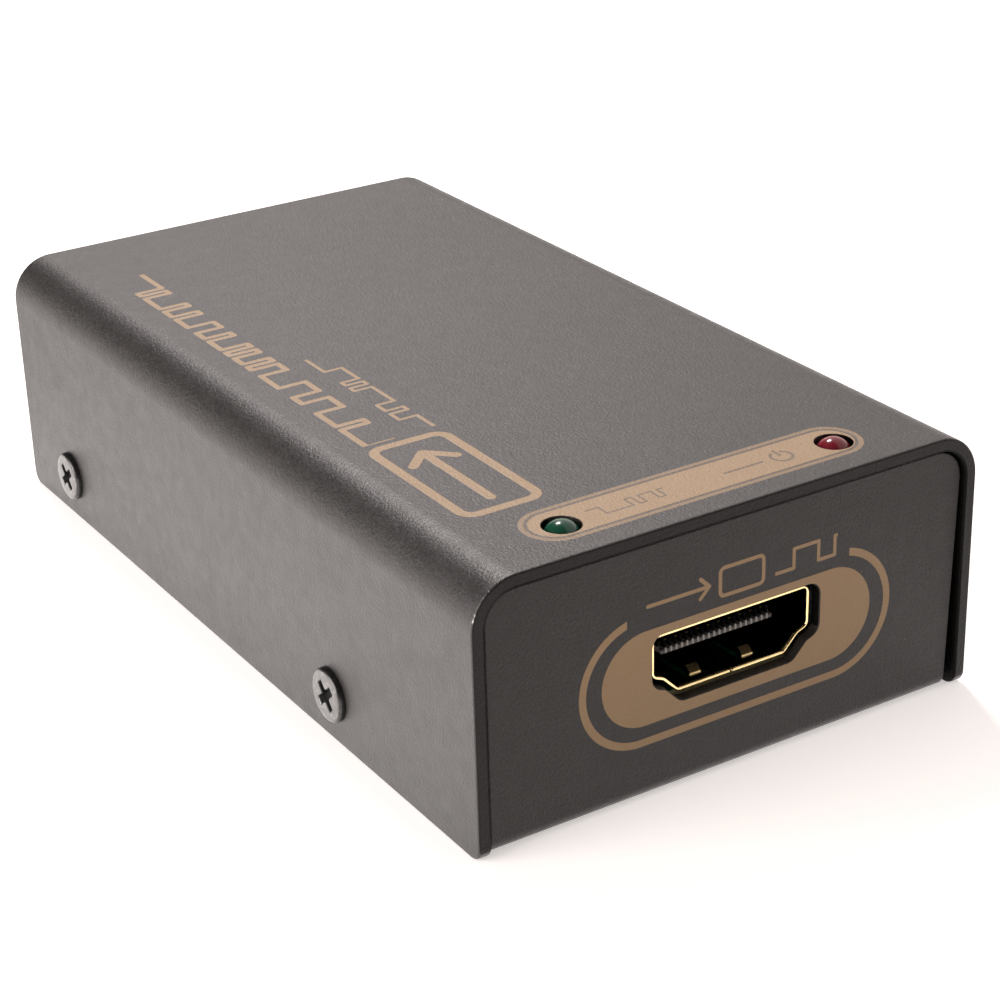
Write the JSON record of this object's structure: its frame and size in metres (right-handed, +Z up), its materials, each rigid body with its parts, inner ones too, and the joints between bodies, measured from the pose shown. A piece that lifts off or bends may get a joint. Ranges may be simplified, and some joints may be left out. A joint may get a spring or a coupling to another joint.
{
  "type": "hdmi extender",
  "caption": "Receiver box of a video-over-network-cable extender: folded metal cover on a sheet chassis, digital video socket in front, network and power sockets behind.",
  "frame": {"origin": "centre of the case on plan, on the surface that it stands on", "axes": "+Z up, -Y out of the video socket, +Y out of the network and power sockets, +X to the right seen from the video socket"},
  "size_m": [0.0472, 0.0814, 0.0227],
  "materials": {
    "cover_coat": "charcoal powder coat, fine texture",
    "chassis_coat": "charcoal powder coat, fine texture",
    "black_steel": "blackened steel",
    "zinc_steel": "zinc plate",
    "board_laminate": "green solder mask over glass laminate",
    "plated_shell": "thin gold plate over steel",
    "gold_contact": "gold plate",
    "black_plastic": "moulded thermoplastic",
    "nickel_shield": "nickel plate",
    "tinned_metal": "tin plate",
    "green_lens": "diffused tinted epoxy",
    "red_lens": "diffused tinted epoxy",
    "white_plastic": "moulded thermoplastic",
    "chip_resin": "filled epoxy",
    "ferrite": "sintered ferrite, ground",
    "aluminium_can": "drawn can",
    "ceramic": "fired ceramic with tinned ends"
  },
  "bodies": {
    "case": {"top_cover": "cover_coat", "base_chassis": "chassis_coat", "cover_screws": "black_steel", "board_standoffs": "zinc_steel", "board_screws": "zinc_steel", "main_board": "board_laminate", "video_socket_shell": "plated_shell", "video_socket_insulator": "black_plastic", "video_socket_contacts": "gold_contact", "network_jack_housing": "black_plastic", "network_jack_shield": "nickel_shield", "network_jack_tails": "gold_contact", "power_jack_housing": "black_plastic", "power_jack_pin": "nickel_shield", "power_jack_spring_terminal": "tinned_metal", "power_jack_switch_terminal": "tinned_metal", "status_led": "green_lens", "power_led": "red_lens", "led_leads": "tinned_metal", "led_spacers": "white_plastic", "receiver_chip": "chip_resin", "equaliser_chip": "chip_resin", "memory_chip": "chip_resin", "line_chokes": "ferrite", "clock_crystal": "zinc_steel", "power_inductor": "ferrite", "voltage_regulator": "chip_resin", "electrolytic_capacitors": "aluminium_can", "ceramic_capacitors": "ceramic", "chip_resistors": "chip_resin"},
    "network_wires": {"network_jack_wires": "gold_contact"},
    "power_spring": {"power_jack_spring": "nickel_shield"}
  },
  "joints": [
    {"name": "network_contacts_flex", "type": "hinge", "parent": "case", "child": "network_wires", "pos_m": [-0.009, 0.0383, 0.0179], "axis": [-1, 0, 0], "range_deg": [0, 10], "stiffness_Nm_per_rad": 0.4},
    {"name": "power_spring_flex", "type": "hinge", "parent": "case", "child": "power_spring", "pos_m": [0.01, 0.0292, 0.0098], "axis": [-1, 0, 0], "range_deg": [0, 4], "stiffness_Nm_per_rad": 0.2}
  ]
}
